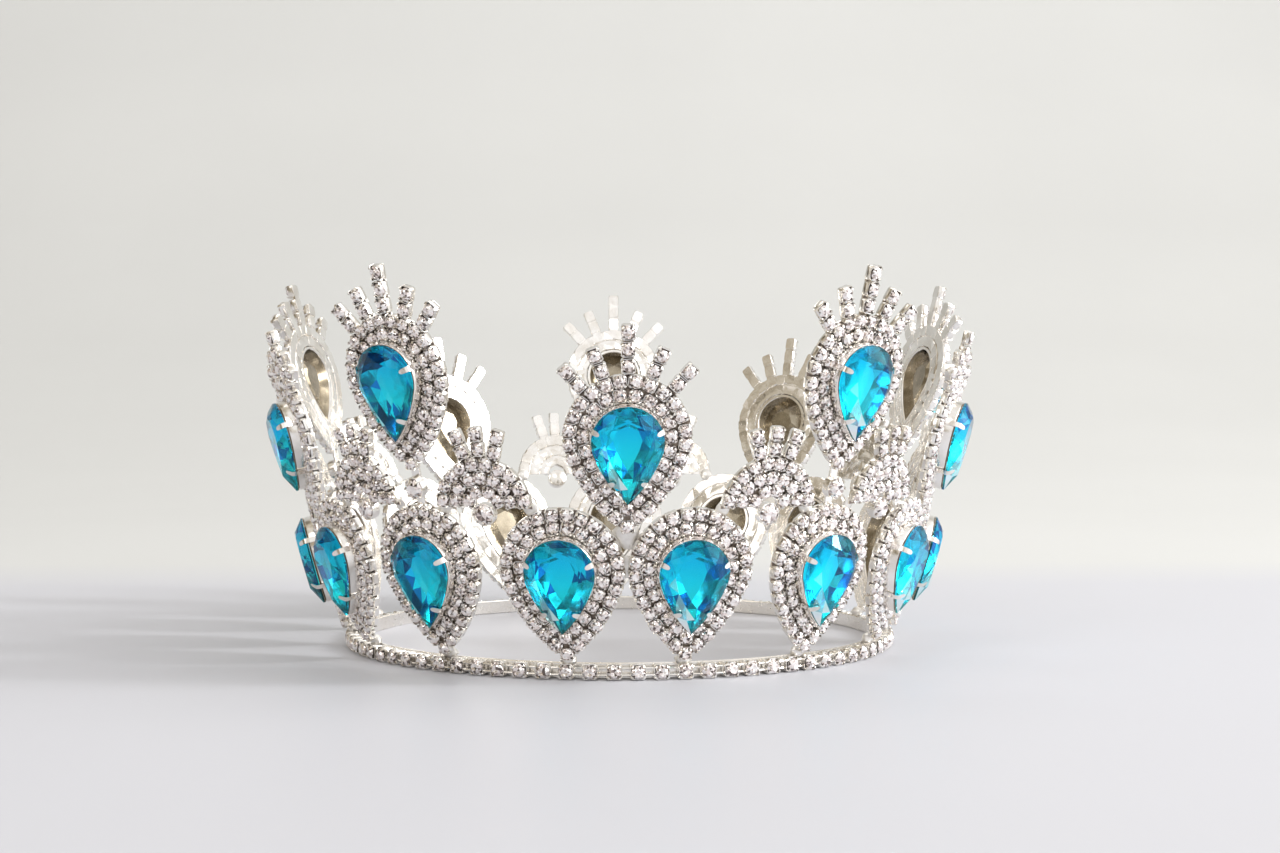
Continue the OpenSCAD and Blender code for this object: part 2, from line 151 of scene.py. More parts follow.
def on_cone(azimuth, s):
    """Frame on the cone: X along the ring, Y up the slope, Z outward."""
    place = shift(0, -CONE_R - s * math.sin(LEAN), s * math.cos(LEAN))
    return turn_z(azimuth) @ place @ np.array(Matrix.Rotation(math.pi / 2 + LEAN, 4, "X"))


def tilted(amount):
    """A small random turn, as hand-set stones have."""
    ax, ay, az = chance.uniform(-1, 1, 3) * math.radians(amount)
    return np.array(Matrix.Rotation(ax, 4, "X") @ Matrix.Rotation(ay, 4, "Y") @ Matrix.Rotation(az, 4, "Z"))


class Mesh:
    """Placed copies of shapes, as one mesh. Each face has a material index and a random tone."""

    def __init__(self):
        self.points, self.faces, self.kinds = [], [], []
        self.tones, self.along = [], []
        self.count = 0

    def add(self, shape, place=np.eye(4), kinds=0):
        points, faces = shape
        self.points.append(points @ place[:3, :3].T + place[:3, 3])
        self.faces.extend(tuple(i + self.count for i in face) for face in faces)
        self.kinds.extend([kinds] * len(faces) if isinstance(kinds, int) else kinds)
        self.tones.append(chance.uniform(0.0, 1.0, len(faces)))
        self.count += len(points)

    def join(self, other, place):
        """Takes over another mesh's faces, and keeps how far up the pear stone each point lies."""
        local = np.concatenate(other.points)
        self.points.append(local @ place[:3, :3].T + place[:3, 3])
        self.along.append((local[:, 1] + TIP_D) / GEM_L)
        self.faces.extend(tuple(i + self.count for i in face) for face in other.faces)
        self.kinds.extend(other.kinds)
        self.tones.extend(other.tones)
        self.count += other.count

    def piece(self, name, materials, slot, replaces, smooth=False, at=np.eye(4)):
        local = np.concatenate(self.points)
        points = local @ at[:3, :3].T + at[:3, 3]
        mesh = bpy.data.meshes.new(name)
        mesh.from_pydata((points * MM).tolist(), [], self.faces)
        mesh.polygons.foreach_set("material_index", self.kinds)
        mesh.polygons.foreach_set("use_smooth", [smooth] * len(mesh.polygons))
        if smooth:
            mesh.set_sharp_from_angle(angle=math.radians(SHARP_ANGLE))
        tone = mesh.attributes.new("tone", "FLOAT", "FACE")
        tone.data.foreach_set("value", np.concatenate(self.tones).astype(np.float32))
        if self.along:
            along = mesh.attributes.new("along", "FLOAT", "POINT")
            along.data.foreach_set("value", np.concatenate(self.along).astype(np.float32))
        obj = bpy.data.objects.new(name, mesh)
        bpy.context.scene.collection.objects.link(obj)
        for material in materials:
            mesh.materials.append(material)
        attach(obj, "root")
        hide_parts(*replaces)


def lofted(loops, close_low=True, close_high=True):
    """Faces between loops of the same length, with optional ends."""
    n = len(loops[0])
    faces = []
    for k in range(len(loops) - 1):
        for i in range(n):
            j = (i + 1) % n
            faces.append((k * n + i, k * n + j, (k + 1) * n + j, (k + 1) * n + i))
    if close_low:
        faces.append(tuple(range(n - 1, -1, -1)))
    if close_high:
        faces.append(tuple((len(loops) - 1) * n + i for i in range(n)))
    return np.concatenate([np.asarray(loop, float) for loop in loops]), faces


def ring(radius, z, n, turn=0.0):
    a = (np.arange(n) + turn) * 2 * math.pi / n
    return np.stack([radius * np.cos(a), radius * np.sin(a), np.full(n, z)], 1)


def rounded_box(half_x, half_y, corner, z, per_corner=4):
    """Loop around a rectangle with rounded corners."""
    points = []
    for q, (cx, cy) in enumerate(((1, 1), (-1, 1), (-1, -1), (1, -1))):
        for i in range(per_corner):
            a = math.radians(90 * (q + i / (per_corner - 1)))
            x = (half_x - corner) * cx + corner * math.cos(a)
            points.append((x, (half_y - corner) * cy + corner * math.sin(a), z))
    return np.array(points)


def bent_strip(path, half_widths, thick):
    """Flat strip that follows (y, z) points and has its own half width at each of them."""
    path = np.array(path, float)
    along = np.gradient(path, axis=0)
    along /= np.linalg.norm(along, axis=1)[:, None]
    loops = []
    for (y, z), (dy, dz), half in zip(path, along, half_widths):
        oy, oz = -dz * thick / 2, dy * thick / 2
        loops.append([(-half, y - oy, z - oz), (half, y - oy, z - oz),
                      (half * CLAW_TAPER, y + oy, z + oz), (-half * CLAW_TAPER, y + oy, z + oz)])
    return lofted(loops)


def swept(path, profile):
    """Closed strip: profile points are (outward offset, height) laid along loops of a path function."""
    loops = [np.concatenate([path(off), np.full((len(path(off)), 1), z)], 1) for off, z in profile]
    loops.append(loops[0])
    return lofted(loops, close_low=False, close_high=False)


# ---- pear outline -----------------------------------------------------------------------------

def half_lengths(off):
    tip = math.acos(FLANK_X / (FLANK_R + off))
    return (math.pi / 2 + SHOULDER) * (GEM_R + off), (tip - SHOULDER) * (FLANK_R + off)


def outline_point(off, part):
    """Point on the pear outline grown by off, and its outward direction in degrees. Part 0 is the tip."""
    end, flank = half_lengths(off)
    run = (end + flank) * (1 - 2 * min(part, 1 - part))
    if run < end:
        a = math.pi / 2 - run / (GEM_R + off)
        x, y = (GEM_R + off) * math.cos(a), (GEM_R + off) * math.sin(a)
    else:
        a = -SHOULDER - (run - end) / (FLANK_R + off)
        x, y = -FLANK_X + (FLANK_R + off) * math.cos(a), FLANK_Y + (FLANK_R + off) * math.sin(a)
    side = 1 if part < 0.5 else -1
    outward = math.degrees(a) if side > 0 else 180 - math.degrees(a)
    return side * x, y, -90.0 if part == 0 else outward


def pear_loop(off, n, turn=0.0):
    return np.array([outline_point(off, ((i + turn) / n) % 1.0)[:2] for i in range(n)])


def pear_ring(off, z, n, turn=0.0):
    loop = pear_loop(off, n, turn)
    return np.concatenate([loop, np.full((n, 1), z)], 1)


# ---- unit shapes ------------------------------------------------------------------------------

def cup_shape(across, along, height, floor):
    """Stamped cup, rectangular with rounded corners and open at the top."""
    x, y = across / 2, along / 2
    outside = ((0.88, 0.0), (0.98, 0.35), (1.0, height - CUP_LIP), (0.97, height))
    loops = [rounded_box(x * part, y * part, CUP_CORNER, z) for part, z in outside]
    for wall, z in ((CUP_WALL, height), (CUP_WALL * 1.2, floor)):
        loops.append(rounded_box(x - wall, y - wall, CUP_CORNER - CUP_WALL / 2, z))
    return lofted(loops)


def corner_claws(across, along, height):
    """Four narrow claws that rise from the corners of a cup and bend over its stone."""
    mesh = Mesh()
    reach = math.hypot(across, along) / 2 - CUP_CLAW_IN
    claw = bent_strip([(reach + y, height + z) for y, z in CUP_CLAW], CUP_CLAW_HALVES, CUP_CLAW_T)
    for sx, sy in ((1, 1), (-1, 1), (-1, -1), (1, -1)):
        mesh.add(claw, turn_z(math.degrees(math.atan2(sy * along, sx * across)) - 90))
    return np.concatenate(mesh.points), mesh.faces


def ring_claws(count, radius, height):
    """Claws around a round cup."""
    mesh = Mesh()
    claw = bent_strip([(radius + y, height + z) for y, z in ROUND_CLAW], ROUND_CLAW_HALVES, ROUND_CLAW_T)
    for i in range(count):
        mesh.add(claw, turn_z(360.0 * i / count))
    return np.concatenate(mesh.points), mesh.faces


def chaton_shape(radius, girdle_z, crown):
    """Round brilliant with a slightly dished table, as its foiled pavilion shows through it."""
    sides, table_z = CHATON_SIDES, girdle_z + crown
    centre = np.array([(0.0, 0.0, table_z - CHATON_DIP * radius)])
    table = ring(radius * CHATON_TABLE, table_z, sides)
    star = ring(radius * CHATON_STAR, girdle_z + crown * CHATON_STAR_RISE, sides, 0.5)
    girdle = ring(radius, girdle_z, 2 * sides)
    low = ring(radius, girdle_z - CHATON_EDGE, 2 * sides)
    under = ring(radius * CHATON_UNDER, girdle_z - CHATON_DEPTH, 2 * sides)
    points = np.concatenate([table, star, girdle, low, under, centre])
    g, l, u, c = 2 * sides, 4 * sides, 6 * sides, 8 * sides
    faces = []
    for i in range(sides):
        j = (i + 1) % sides
        m, n = sides + i, sides + j
        a, b, d = g + 2 * i, g + 2 * i + 1, g + (2 * i + 2) % (2 * sides)
        faces += [(i, j, c), (i, m, j), (m, a, b), (m, b, d), (j, m, d), (j, d, n)]
    for i in range(2 * sides):
        j = (i + 1) % (2 * sides)
        faces += [(g + i, l + i, l + j, g + j), (l + i, u + i, u + j, l + j)]
    faces.append(tuple(u + i for i in range(2 * sides - 1, -1, -1)))
    return points, faces


def crown_glass():
    """Glass of the pear stone: its table, then a star, a kite and two halves a side, then the girdle."""
    n, top = PEAR_SIDES, GIRDLE_Z + GIRDLE_T
    table = pear_ring(-TABLE_INSET, top + CROWN_H, n)
    star = pear_ring(-TABLE_INSET * STAR_INSET, top + CROWN_H * STAR_RISE, n, 0.5)
    high, low = pear_ring(0.0, top, 4 * n), pear_ring(0.0, GIRDLE_Z, 4 * n)
    faces = [tuple(range(n))]
    g, l = 2 * n, 6 * n
    for i in range(n):
        j, a = (i + 1) % n, g + 4 * i
        last = g + (4 * i + 4) % (4 * n)
        faces += [(i, n + i, j), (j, n + i, last, n + j)]
        faces += [(n + i, a, a + 1, a + 2), (n + i, a + 2, a + 3, last)]
    for i in range(4 * n):
        j = (i + 1) % (4 * n)
        faces.append((g + i, l + i, l + j, g + j))
    return np.concatenate([table, star, high, low]), faces


def pavilion(sink):
    """Back of the pear stone, sunk by a little: its floor, then three steep and two shallow facets a side."""
    n = PEAR_SIDES
    girdle = pear_ring(0.0, GIRDLE_Z, 4 * n)
    middle = pear_ring(-GEM_R * MIDDLE_INSET, GIRDLE_Z - PAVILION_H * MIDDLE_DEPTH, n, 0.5)
    floor = pear_ring(-GEM_R * FLOOR_INSET, GIRDLE_Z - PAVILION_H * FLOOR_DEPTH, n)
    m, f = 4 * n, 5 * n
    faces = [tuple(f + i for i in range(n - 1, -1, -1))]
    for i in range(n):
        j, a = (i + 1) % n, 4 * i
        last = (a + 4) % (4 * n)
        faces += [(m + i, a + 2, a + 1, a), (m + i, last, a + 3, a + 2), (m + i, m + j, last)]
        faces += [(f + i, f + j, m + i), (f + j, m + j, m + i)]
    return np.concatenate([girdle, middle, floor]) - (0.0, 0.0, sink), faces


def lacquer_shell():
    """Thin coat over the back of the foil."""
    inner, faces = pavilion(COAT_FROM)
    outer = pavilion(COAT_TO)[0]
    count, around = len(inner), 4 * PEAR_SIDES
    inside = [tuple(reversed(face)) for face in faces]
    outside = [tuple(i + count for i in face) for face in faces]
    rim = [(i, (i + 1) % around, (i + 1) % around + count, i + count) for i in range(around)]
    return np.concatenate([inner, outer]), inside + outside + rim


# ---- materials --------------------------------------------------------------------------------

def fill_ramp(band, stops):
    """Colours of a colour ramp that starts with two of them."""
    band.elements[0].position, band.elements[0].color = stops[0]
    band.elements[1].position, band.elements[1].color = stops[-1]
    for at, colour in stops[1:-1]:
        band.elements.new(at).color = colour


class Nodes:
    """A node material that is built up step by step."""

    def __init__(self, name):
        self.material = bpy.data.materials.new(name)
        self.material.use_nodes = True
        self.tree = self.material.node_tree
        self.shader = self.tree.nodes["Principled BSDF"]
        self.where = self.tree.nodes.new("ShaderNodeTexCoord").outputs["Object"]

    def add(self, kind, **values):
        node = self.tree.nodes.new(kind)
        for key, value in values.items():
            if key in node.inputs:
                node.inputs[key].default_value = value
            else:
                setattr(node, key, value)
        return node

    def link(self, a, b):
        self.tree.links.new(a, b)

    def set(self, **values):
        for key, value in values.items():
            self.shader.inputs[key.replace("_", " ")].default_value = value

    def noise(self, scale, detail=2.0):
        node = self.add("ShaderNodeTexNoise", Scale=scale, Detail=detail)
        self.link(self.where, node.inputs["Vector"])
        return node.outputs["Fac"]

    def cells(self, scale):
        node = self.add("ShaderNodeTexVoronoi", Scale=scale)
        self.link(self.where, node.inputs["Vector"])
        return node.outputs["Distance"]

    def attribute(self, name):
        return self.add("ShaderNodeAttribute", attribute_name=name).outputs["Fac"]

    def multiplied(self, a, b):
        node = self.add("ShaderNodeMix", data_type="RGBA", blend_type="MULTIPLY")
        node.inputs["Factor"].default_value = 1.0
        self.link(a, node.inputs["A"])
        self.link(b, node.inputs["B"])
        return node.outputs["Result"]

    def ramp(self, source, *stops):
        node = self.add("ShaderNodeValToRGB")
        fill_ramp(node.color_ramp, stops)
        self.link(source, node.inputs["Fac"])
        return node.outputs["Color"]

    def spread(self, source, low, high):
        node = self.add("ShaderNodeMapRange")
        node.inputs["To Min"].default_value, node.inputs["To Max"].default_value = low, high
        self.link(source, node.inputs["Value"])
        return node.outputs["Result"]

    def bump(self, source, strength, distance):
        node = self.add("ShaderNodeBump", Strength=strength, Distance=distance)
        self.link(source, node.inputs["Height"])
        self.link(node.outputs["Normal"], self.shader.inputs["Normal"])


def plated_metal():
    """Bright silver plate with faint warm tarnish and stamped unevenness."""
    m = Nodes("silver_plate")
    m.set(Metallic=1.0)
    tone = m.ramp(m.noise(160.0, 3.0), (0.35, (0.82, 0.78, 0.72, 1)), (0.6, (0.95, 0.93, 0.90, 1)))
    m.link(tone, m.shader.inputs["Base Color"])
    m.link(m.spread(m.noise(420.0), 0.10, 0.28), m.shader.inputs["Roughness"])
    m.bump(m.noise(900.0, 2.0), 0.25, 0.00012)
    return m.material


def recess_shade_metal():
    """Painted shade: dark metal in the recesses between the cups and under the stones."""
    m = Nodes("recess_shade_plate")
    m.set(Metallic=0.7)
    tone = m.ramp(m.noise(500.0, 3.0), (0.35, (0.13, 0.10, 0.085, 1)), (0.65, (0.46, 0.39, 0.33, 1)))
    m.link(tone, m.shader.inputs["Base Color"])
    m.link(m.spread(m.noise(600.0), 0.35, 0.6), m.shader.inputs["Roughness"])
    return m.material


def band_metal():
    """Smoother plate on the flat band, lightly scratched."""
    m = Nodes("band_plate")
    m.set(Metallic=1.0)
    tone = m.ramp(m.noise(60.0, 3.0), (0.3, (0.85, 0.81, 0.75, 1)), (0.65, (0.95, 0.93, 0.90, 1)))
    m.link(tone, m.shader.inputs["Base Color"])
    m.link(m.spread(m.noise(700.0, 4.0), 0.16, 0.34), m.shader.inputs["Roughness"])
    m.bump(m.noise(240.0, 3.0), 0.2, 0.0002)
    return m.material


def solder_metal():
    """Soft solder: duller, greyer and lumpy."""
    m = Nodes("soft_solder")
    m.set(Metallic=1.0)
    tone = m.ramp(m.noise(300.0, 3.0), (0.3, (0.70, 0.68, 0.65, 1)), (0.7, (0.90, 0.88, 0.85, 1)))
    m.link(tone, m.shader.inputs["Base Color"])
    m.link(m.spread(m.noise(500.0), 0.25, 0.5), m.shader.inputs["Roughness"])
    m.bump(m.noise(700.0, 3.0), 0.5, 0.0002)
    return m.material


def clear_stone():
    """Foil-backed clear stone: mirror-like facets under a clear surface. Each facet is painted a tone from
    near black to white as painted dark and bright reflections, and small cells darken it as painted sparkle.
    """
    m = Nodes("clear_rhinestone")
    m.set(Metallic=0.75, Roughness=0.07, Coat_Weight=1.0, Coat_Roughness=0.02, Coat_IOR=1.6)
    tone = m.ramp(
        m.attribute("tone"),
        (0.0, (0.05, 0.033, 0.03, 1)), (0.12, (0.20, 0.15, 0.135, 1)), (0.22, (0.70, 0.61, 0.58, 1)),
        (0.45, (1.0, 0.915, 0.89, 1)), (0.75, (1.0, 0.97, 0.96, 1)))
    # Small cells painted darker: painted sparkle over the facets
    painted_sparkle = m.ramp(m.cells(2300.0), (0.0, (0.55, 0.50, 0.49, 1)), (0.4, (1.0, 1.0, 1.0, 1)))
    m.link(m.multiplied(tone, painted_sparkle), m.shader.inputs["Base Color"])
    m.bump(m.cells(1500.0), 0.3, 0.0003)
    return m.material


def aqua_gem():
    """Aqua glass, deeper blue at the round end and greener at the tip. A few facets are painted near white
    and made partly mirror-like as painted pale reflections, and fully mirror-like as painted white glints.
    """
    m = Nodes("aqua_glass")
    m.set(Roughness=0.0, IOR=1.5, Transmission_Weight=1.0, Specular_Tint=(0.3, 0.9, 1.0, 1))
    tone = m.ramp(
        m.attribute("along"),
        (0.1, (0.02, 0.72, 0.52, 1)), (0.42, (0.01, 0.82, 0.97, 1)), (0.9, (0.001, 0.48, 0.95, 1)))
    # Facets with the top tones are painted near white and made partly and fully mirror-like below: painted
    # pale reflections and painted glints
    pale = m.ramp(m.attribute("tone"), (0.95, (1, 1, 1, 1)), (0.96, (45, 1.3, 1.8, 1)))
    m.link(m.multiplied(tone, pale), m.shader.inputs["Base Color"])
    painted_glint = m.ramp(
        m.attribute("tone"),
        (0.95, (0, 0, 0, 1)), (0.96, (0.3, 0.3, 0.3, 1)), (0.99, (1, 1, 1, 1)))
    m.link(painted_glint, m.shader.inputs["Metallic"])
    return m.material


def gem_foil():
    """Mirror foil on the pavilion, seen through the glass. Its facets are painted tones from dark blue to
    white as painted reflections, and a few are painted dark.
    """
    m = Nodes("gem_foil")
    m.set(Metallic=0.85, Roughness=0.14)
    tone = m.ramp(
        m.attribute("tone"),
        (0.0, (0.05, 0.11, 0.32, 1)), (0.14, (0.14, 0.28, 0.64, 1)), (0.24, (0.60, 0.76, 0.98, 1)),
        (0.5, (1.0, 1.0, 1.0, 1)))
    m.link(tone, m.shader.inputs["Base Color"])
    return m.material


def gem_lacquer():
    """Dark olive lacquer that protects the foil, seen from inside the crown."""
    m = Nodes("gem_lacquer")
    m.set(Metallic=1.0, Coat_Weight=0.5, Coat_Roughness=0.08)
    tone = m.ramp(m.noise(260.0, 3.0), (0.3, (0.24, 0.20, 0.14, 1)), (0.7, (0.41, 0.36, 0.27, 1)))
    m.link(tone, m.shader.inputs["Base Color"])
    m.link(m.spread(m.noise(500.0), 0.2, 0.32), m.shader.inputs["Roughness"])
    return m.material


# Depths between which the table's tint turns into the wall's
TINT_FROM, TINT_TO = 150, 240


def table_and_wall_paint():
    """Smooth pale paint, cool on the table and warmer on the wall behind it."""
    m = Nodes("pale_paint")
    m.set(Roughness=0.5)
    split = m.add("ShaderNodeSeparateXYZ")
    m.link(m.where, split.inputs["Vector"])
    depth = m.add("ShaderNodeMapRange")
    depth.inputs["From Min"].default_value = TINT_FROM * MM
    depth.inputs["From Max"].default_value = TINT_TO * MM
    m.link(split.outputs["Y"], depth.inputs["Value"])
    tint = m.ramp(depth.outputs["Result"], (0.0, (0.575, 0.58, 0.62, 1)), (1.0, (0.625, 0.63, 0.62, 1)))
    mottle = m.ramp(m.noise(3.0, 3.0), (0.3, (0.97, 0.97, 0.97, 1)), (0.7, (1, 1, 1, 1)))
    m.link(m.multiplied(tint, mottle), m.shader.inputs["Base Color"])
    m.bump(m.noise(60.0, 4.0), 0.05, 0.0005)
    return m.material


# The second metal here is painted shade for the recesses between and inside the cups
SILVER, RECESS_SHADE, BAND, SOLDER = plated_metal(), recess_shade_metal(), band_metal(), solder_metal()
CLEAR, AQUA, FOIL, LACQUER = clear_stone(), aqua_gem(), gem_foil(), gem_lacquer()


# ---- medallions, fans and rays ----------------------------------------------------------------

STONE = chaton_shape(STONE_R, CUP_H + STONE_LIFT, STONE_CROWN)


def back_section(rows):
    """Section of the plates behind rows of cups, from the inner edge, with a groove behind each seam."""
    points = [(BACK_EDGE, BACK_TOP)]
    for row in range(rows):
        low, high = row * ROW, (row + 1) * ROW
        points += [(low + GROOVE_RIM, GROOVE_Z), (low + GROOVE_SIDE, 0.0), (high - GROOVE_SIDE, 0.0)]
    return points + [(rows * ROW - GROOVE_RIM, GROOVE_Z), (rows * ROW - BACK_EDGE, BACK_TOP)]


def recesses(shape):
    """Material index of each face: painted shade on the plates between the cups and inside the cups."""
    points, faces = shape
    lowest = [min(points[i][2] for i in face) for face in faces]
    return [int(BACK_TOP - NEAR < z < CUP_FLOOR + NEAR) for z in lowest]


class Cup:
    """A cup, its claws and its recess, for rows with a given distance along the row."""

    def __init__(self, along):
        self.shape = cup_shape(CUP_ACROSS, along, CUP_H, CUP_FLOOR)
        self.kinds = recesses(self.shape)
        self.claws = corner_claws(CUP_ACROSS, along, CUP_H)

    def add(self, metal, stones, place):
        set_by_hand = place @ tilted(CUP_TURN)
        metal.add(self.shape, set_by_hand, self.kinds)
        metal.add(self.claws, set_by_hand)
        stones.add(STONE, set_by_hand @ turn_z(chance.uniform(0, 45)) @ tilted(STONE_TURN))


HALO_CUP, RAY_CUP, FAN_RAY_CUP = Cup(HALO_CUP_ALONG), Cup(RAY_PITCH - RAY_SEAM), Cup(FAN_RAY_PITCH - RAY_SEAM)


def halo_places():
    """Frames of the cups around a pear stone, each turned to follow its row."""
    for off, count in ((ROW / 2, INNER_STONES), (ROW * 1.5, OUTER_STONES)):
        for i in range(count):
            x, y, outward = outline_point(off, i / count)
            yield shift(x, y, 0) @ turn_z(outward + 90)


def ray_places(start, pitch, angles):
    for angle, stones in angles.items():
        for i in range(stones):
            yield turn_z(angle) @ shift(0, start + pitch * (i + 0.5), 0)


def add_ray_backs(metal, start, pitch, angles):
    """Bars behind the cups of the rays, bevelled at both ends."""
    bevel, wide = RAY_BACK_BEVEL, RAY_BACK_HALF
    low, high = RAY_BACK_Z, BACK_TOP
    for angle, stones in angles.items():
        near, far = start - 2 * bevel, start + pitch * stones - BACK_EDGE
        loops = []
        for y, half in ((near, wide - bevel), (near + bevel, wide), (far - bevel, wide), (far, wide - bevel)):
            loops.append([(-half, y, low), (half, y, low), (half, y, high), (-half, y, high)])
        bar = lofted(loops)
        metal.add(bar, turn_z(angle), recesses(bar))


def add_halo_back(metal):
    strip = swept(lambda off: pear_loop(off, PEAR_STEPS), back_section(2))
    metal.add(strip, kinds=recesses(strip))


def claw_places():
    """Frames of the four claws of a pear stone, with Y outward from the girdle."""
    low_x = -FLANK_X + math.sqrt(FLANK_R**2 - (CLAW_LOW + FLANK_Y) ** 2)
    low_turn = math.degrees(math.asin((CLAW_LOW + FLANK_Y) / FLANK_R))
    for side in (1, -1):
        flip = np.diag([side, 1.0, 1.0, 1.0])
        yield flip @ turn_z(CLAW_ANGLE - 90) @ shift(0, GEM_R, 0)
        yield flip @ shift(low_x, -CLAW_LOW, 0) @ turn_z(-low_turn - 90)


def add_setting(metal):
    """Wall under the girdle with four claws bent over the stone."""
    wall, seat = -SETTING_WALL, GIRDLE_Z - PAVILION_H * SETTING_WALL / GEM_R
    metal.add(swept(lambda off: pear_loop(off, PEAR_STEPS), [
        (wall, 0.3), (wall + 0.2, 0.0), (-0.1, 0.0), (0.0, 0.3),
        (0.0, seat - 0.2), (-0.15, seat), (wall + 0.35, seat), (wall, seat - 0.25)]))
    top = GIRDLE_Z + GIRDLE_T
    path = [(0.25, 2.6), (0.3, 4.6)] + [(y, top + z) for y, z in PEAR_CLAW]
    claw = bent_strip(path, PEAR_CLAW_HALVES, PEAR_CLAW_T)
    for place in claw_places():
        metal.add(claw, place)


# Tones of the first face of each layer, and of single facets, counted as they are made: at the lower left of
# the glass, painted pale reflections, partly mirror-like, and painted white glints, fully mirror-like; and
# painted dark reflections at both sides of the foil
PEAR_LAYERS = (crown_glass(), pavilion(0.0), lacquer_shell())
FLAT_TONES = (0.5, 0.85, 0.5)
# Random glass tones are kept below the tones at which facets are painted pale
GLASS_TONE_TOP = 0.94
PAINTED_PALE_FACETS, PAINTED_PALE_TONE = [29, 33, 34], 0.965
PAINTED_GLINT_FACETS, PAINTED_GLINT_TONE = [37, 39, 40], 1.0
PAINTED_DARK_FACETS, PAINTED_DARK_TONE = [16, 17, 31, 32], 0.05


def finish_pair(name, metal, stones, nodes, at):
    """The metal and the small stones of one part of the crown, as two pieces."""
    # The metal piece's second material is painted shade in the recesses
    metal.piece(name + "_metal", (SILVER, RECESS_SHADE), "plated_metal", nodes["metal"], smooth=True, at=at)
    stones.piece(name + "_stones", (CLEAR,), "clear_stone", nodes["stones"], at=at)


def medallion(name, azimuth, s, rays, nodes, gems):
    """Metal and small stones of one medallion; its pear stone joins the others of its row."""
    metal, stones, gem = Mesh(), Mesh(), Mesh()
    add_halo_back(metal)
    add_setting(metal)
    for place in halo_places():
        HALO_CUP.add(metal, stones, place)
    if rays:
        add_ray_backs(metal, HALO_TOP, RAY_PITCH, RAY_ANGLES)
        for place in ray_places(HALO_TOP, RAY_PITCH, RAY_ANGLES):
            RAY_CUP.add(metal, stones, place)
    for kind, layer in enumerate(PEAR_LAYERS):
        gem.add(layer, kinds=kind)
        gem.tones[-1][0] = FLAT_TONES[kind]
    gem.tones[0] *= GLASS_TONE_TOP
    # Painted pale reflections and painted white glints on the glass
    gem.tones[0][PAINTED_PALE_FACETS] = PAINTED_PALE_TONE
    gem.tones[0][PAINTED_GLINT_FACETS] = PAINTED_GLINT_TONE
    # Painted dark reflections on the foil at both sides
    gem.tones[1][PAINTED_DARK_FACETS] = PAINTED_DARK_TONE
    at = on_cone(azimuth, s)
    finish_pair(name, metal, stones, nodes, at)
    gems.join(gem, at)


def fan(name, azimuth, nodes):
    """Three arched rows, three short rays and a drop stone."""
    metal, stones = Mesh(), Mesh()
    section = np.array([(FAN_CORE + off, 0.0, z) for off, z in back_section(3)])
    turns = [FAN_FROM + FAN_SPAN * i / FAN_STEPS for i in range(FAN_STEPS + 1)]
    strip = lofted([section @ turn_z(turn)[:3, :3].T for turn in turns])
    metal.add(strip, kinds=recesses(strip))
    for row, count in enumerate(FAN_COUNTS):
        for i in range(count):
            out = shift(FAN_CORE + ROW * (row + 0.5), 0, 0)
            HALO_CUP.add(metal, stones, turn_z(180 * (i + 0.5) / count) @ out)
    angles = {angle: FAN_RAY_STONES for angle in FAN_RAY_ANGLES}
    add_ray_backs(metal, FAN_R, FAN_RAY_PITCH, angles)
    for place in ray_places(FAN_R, FAN_RAY_PITCH, angles):
        FAN_RAY_CUP.add(metal, stones, place)
    add_round(metal, stones, shift(0, -DROP_DOWN, 0))
    finish_pair(name, metal, stones, nodes, on_cone(azimuth, FAN_S))


ROUND_PROFILE = ((2.3, 0.0), (2.9, 0.3), (3.0, 1.2), (3.0, 2.4), (2.85, 2.55), (2.6, 2.55), (2.5, 1.3))
ROUND_CUP = lofted([ring(r, z, ROUND_SIDES) for r, z in ROUND_PROFILE])
ROUND_CLAWS = ring_claws(ROUND_CLAW_COUNT, ROUND_CLAW_R, ROUND_CLAW_Z)
ROUND_STONE = chaton_shape(ROUND_R, ROUND_GIRDLE_Z, ROUND_CROWN)


def add_round(metal, stones, place):
    metal.add(ROUND_CUP, place)
    metal.add(ROUND_CLAWS, place)
    stones.add(ROUND_STONE, place @ tilted(ROUND_STONE_TURN))


def links():
    """Round cups, with straps behind, that carry the high medallions."""
    metal, stones = Mesh(), Mesh()
    reach = LINK_S - LOWER_S - HALO_TOP + LINK_OVERLAP
    section = rounded_box(LINK_HALF, LINK_HALF_T, LINK_CORNER, 0.0)[:, [0, 2, 1]]
    strap = lofted([section + (0, y, LINK_HALF_T) for y in (-reach, reach)])
    for m in range(PERIODS):
        at = on_cone((m + 0.5) * PERIOD, LINK_S)
        add_round(metal, stones, at)
        metal.add(strap, at)
    metal.piece("link_cups", (SILVER,), "plated_metal", ["round_cups"], smooth=True)
    stones.piece("link_stones", (CLEAR,), "clear_stone", ["round_stones"])


# ---- base ring and solder ---------------------------------------------------------------------

def band():
    """Flat band with rolled edges and a lapped seam at the back."""
    low, high, inner, outer, roll = 0.0, BAND_H, BAND_R - BAND_WALL, BAND_R, BAND_ROLL
    profile = [(inner + roll, low), (outer - roll, low), (outer, low + roll), (outer, high - roll),
               (outer - roll, high), (inner + roll, high), (inner, high - roll), (inner, low + roll)]
    loops = [ring(r, z, RING_STEPS) for r, z in profile + profile[:1]]
    mesh = Mesh()
    mesh.add(lofted(loops, close_low=False, close_high=False))
    across = ((0.5, 0.0), (0.8, 0.5), (high - 0.8, 0.5), (high - 0.5, 0.0))
    mesh.add(lofted([[(x, outer + out - LAP_SINK, z) for z, out in across] for x in LAP_X]))
    mesh.piece("head_band", (BAND,), "band_metal", ["base_band"], smooth=True)


